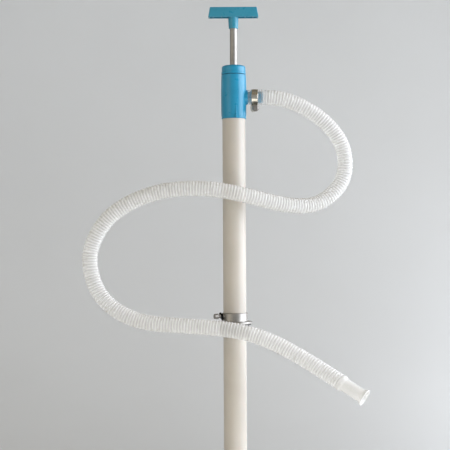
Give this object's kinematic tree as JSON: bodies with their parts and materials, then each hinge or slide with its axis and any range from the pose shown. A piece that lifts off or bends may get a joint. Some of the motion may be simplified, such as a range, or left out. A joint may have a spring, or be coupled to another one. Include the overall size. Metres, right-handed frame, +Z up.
{
  "type": "drum barrel pump",
  "caption": "Hand lift pump for drums and barrels: immersion tube clamped in a bung adaptor, T-handle on a piston rod, side spigot with corrugated hose and nozzle.",
  "frame": {"origin": "on the pump tube's axis at the seat, the lower face of the adaptor's gasket where it rests on the drum's bung", "axes": "+Z up along the tube towards the T-handle; +X the way the outlet spigot points; -Y the front, where the hose passes the tube"},
  "size_m": [0.384, 0.1426, 0.9256],
  "materials": {
    "zinc_plate": "zinc-plated, satin",
    "black_rubber": "matte",
    "white_plastic": "machined PTFE or acetal",
    "black_steel": "black oxide",
    "brass": "turned",
    "grey_pp": "extruded polypropylene, satin",
    "blue_plastic": "moulded, semi-gloss",
    "teal_plastic": "moulded, satin",
    "stainless": "drawn and polished",
    "glass_ball": "ground glass",
    "clear_pvc": "clear flexible PVC"
  },
  "bodies": {
    "adaptor": {"drum_adaptor": "zinc_plate", "adaptor_gasket": "black_rubber", "bush_circlip": "black_steel"},
    "bush": {"guide_bush": "white_plastic"},
    "pad": {"clamp_pad": "brass"},
    "thumbscrew": {"clamp_screw": "zinc_plate", "clamp_wing_nut": "black_steel"},
    "pump": {"pump_tube": "grey_pp", "pump_head": "blue_plastic", "head_cap": "blue_plastic", "cap_seal": "black_rubber", "rod_guide_bush": "white_plastic", "rod_seal": "black_rubber", "gland_ring": "white_plastic", "foot_valve_body": "grey_pp", "foot_stop_pin": "stainless", "foot_seal": "black_rubber", "foot_strainer": "grey_pp", "hose_inlet_cuff": "clear_pvc", "hose_clamp_band": "stainless", "hose_clamp_housing": "stainless", "delivery_hose": "clear_pvc", "hose_nozzle": "clear_pvc"},
    "worm": {"hose_clamp_screw": "zinc_plate"},
    "piston": {"piston_body": "white_plastic", "piston_seal": "black_rubber"},
    "rod": {"piston_rod": "stainless", "rod_washer": "stainless", "rod_nut": "stainless", "t_handle": "teal_plastic"},
    "piston_ball": {"piston_valve_ball": "glass_ball"},
    "foot_ball": {"foot_valve_ball": "glass_ball"}
  },
  "joints": [
    {"name": "pump_swivel", "type": "hinge", "parent": "adaptor", "child": "bush", "pos_m": [0, 0, 0], "axis": [0, 0, 1], "continuous": true},
    {"name": "pump_depth", "type": "slide", "parent": "bush", "child": "pump", "axis": [0, 0, 1], "range_m": [-0.12, 0.25]},
    {"name": "pump_stroke", "type": "slide", "parent": "pump", "child": "piston", "axis": [0, 0, 1], "range_m": [-0.05, 0.3]},
    {"name": "handle_swivel", "type": "hinge", "parent": "piston", "child": "rod", "pos_m": [0, 0, 0], "axis": [0, 0, 1], "continuous": true},
    {"name": "piston_valve_lift", "type": "slide", "parent": "piston", "child": "piston_ball", "axis": [0, 0, 1], "range_m": [0, 0.005]},
    {"name": "foot_valve_lift", "type": "slide", "parent": "pump", "child": "foot_ball", "axis": [0, 0, 1], "range_m": [0, 0.005]},
    {"name": "clamp_travel", "type": "slide", "parent": "adaptor", "child": "pad", "axis": [-0.9063, -0.4226, 0], "range_m": [0, 0.0024]},
    {"name": "clamp_turn", "type": "hinge", "parent": "pad", "child": "thumbscrew", "pos_m": [0, 0, 0.0125], "axis": [-0.9063, -0.4226, 0], "range_deg": [0, 1080]},
    {"name": "hose_clamp_turn", "type": "hinge", "parent": "pump", "child": "worm", "pos_m": [0.0289, 0, 0.30035], "axis": [0.2079, -0.9781, 0], "continuous": true}
  ],
  "couplings": [
    {"joint": "clamp_turn", "follows": "clamp_travel", "rad_per_m": 7854}
  ]
}
